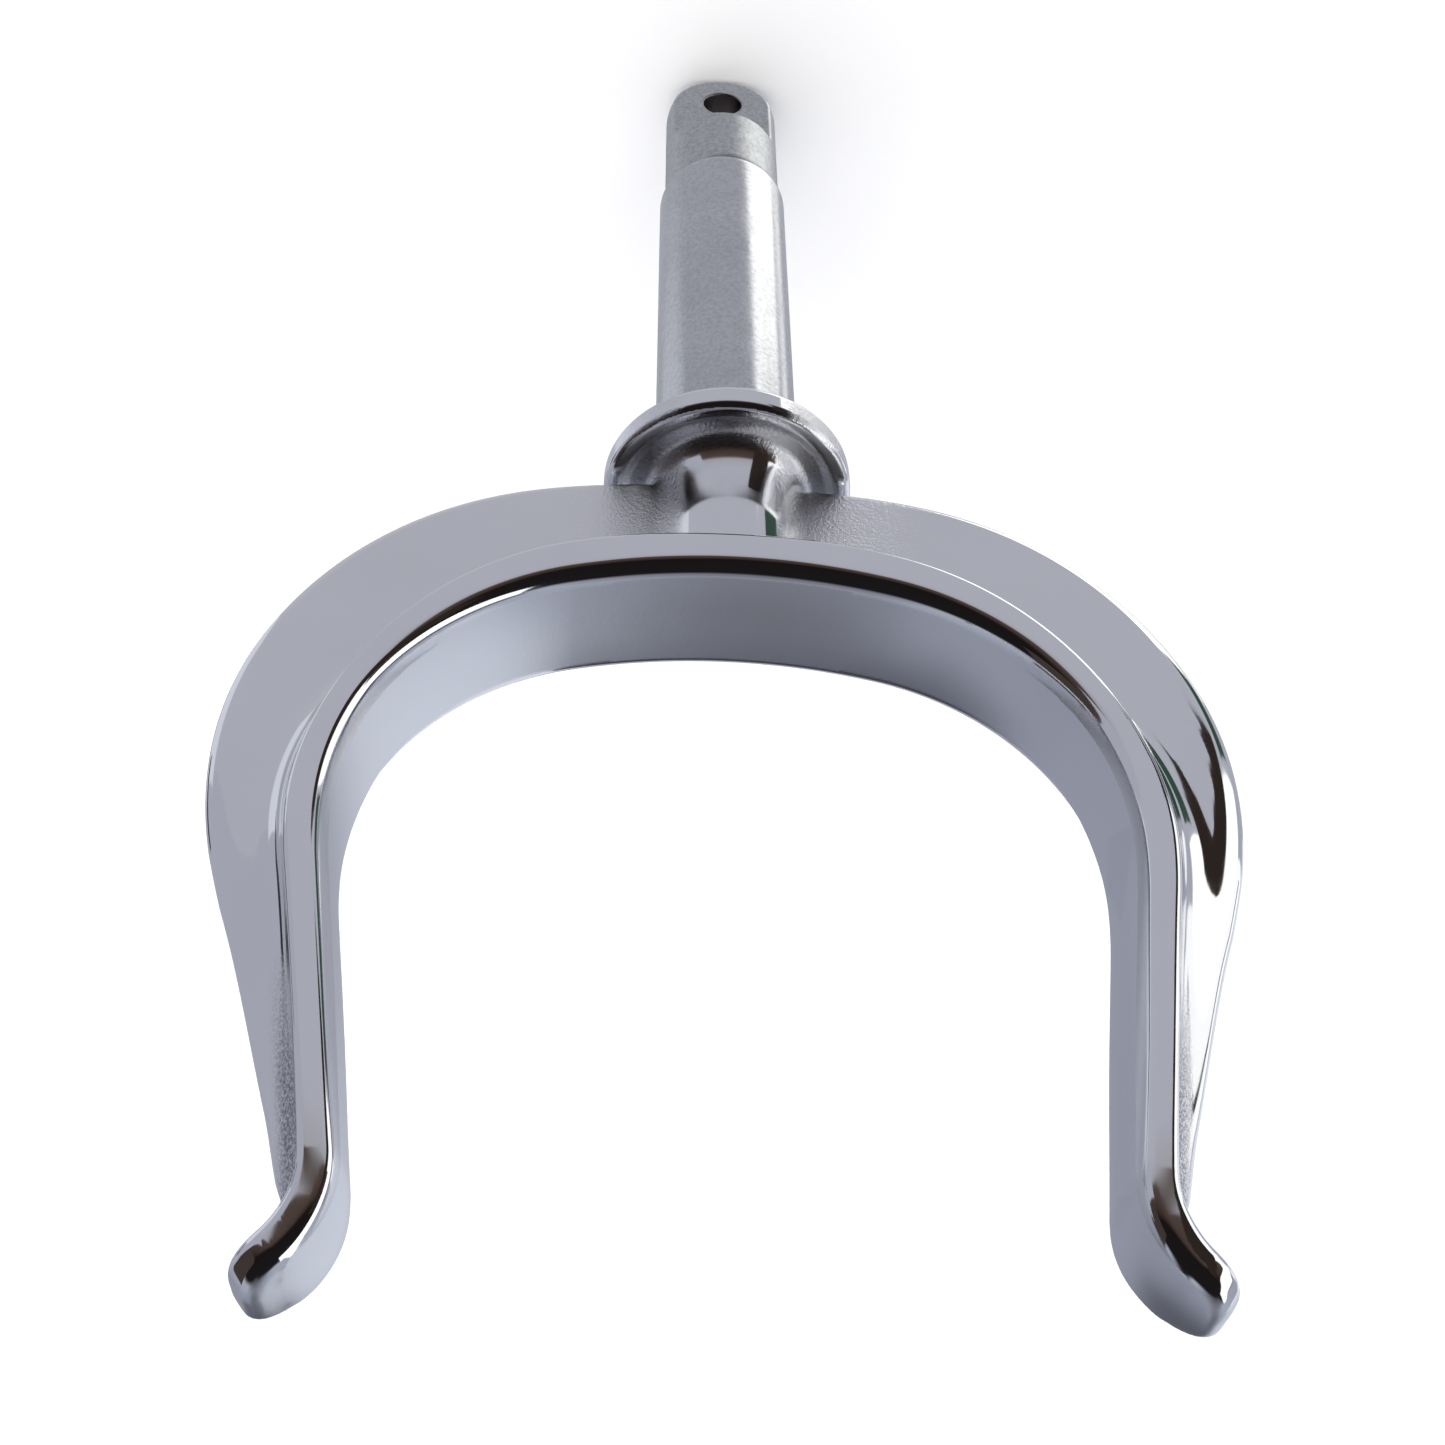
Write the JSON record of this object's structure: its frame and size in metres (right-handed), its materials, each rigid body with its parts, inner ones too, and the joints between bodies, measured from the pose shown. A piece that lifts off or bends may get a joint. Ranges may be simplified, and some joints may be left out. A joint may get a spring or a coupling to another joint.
{
  "type": "rowlock",
  "caption": "U-shaped cradle with flared horns and crescent webs on a neck, a round-edged thrust collar and a round shank that ends in a flattened, cross-drilled eye.",
  "frame": {"origin": "on the shank's axis, in the plane of the collar's seat", "axes": "+Z along the shank's axis towards the horns, X across the horns, +Y along the oar, level with the gunwale"},
  "size_m": [0.0782, 0.0216, 0.1372],
  "materials": {
    "polished_metal": "mirror polished, satin inside the cradle, fine as-cast grain in the corners",
    "satin_metal": "satin"
  },
  "bodies": {
    "root": {"cradle_arch": "polished_metal", "left_arm": "polished_metal", "right_arm": "polished_metal", "left_horn": "polished_metal", "right_horn": "polished_metal", "left_web": "polished_metal", "right_web": "polished_metal", "neck": "polished_metal", "collar": "polished_metal", "shank": "satin_metal", "retaining_eye": "satin_metal"}
  },
  "joints": []
}
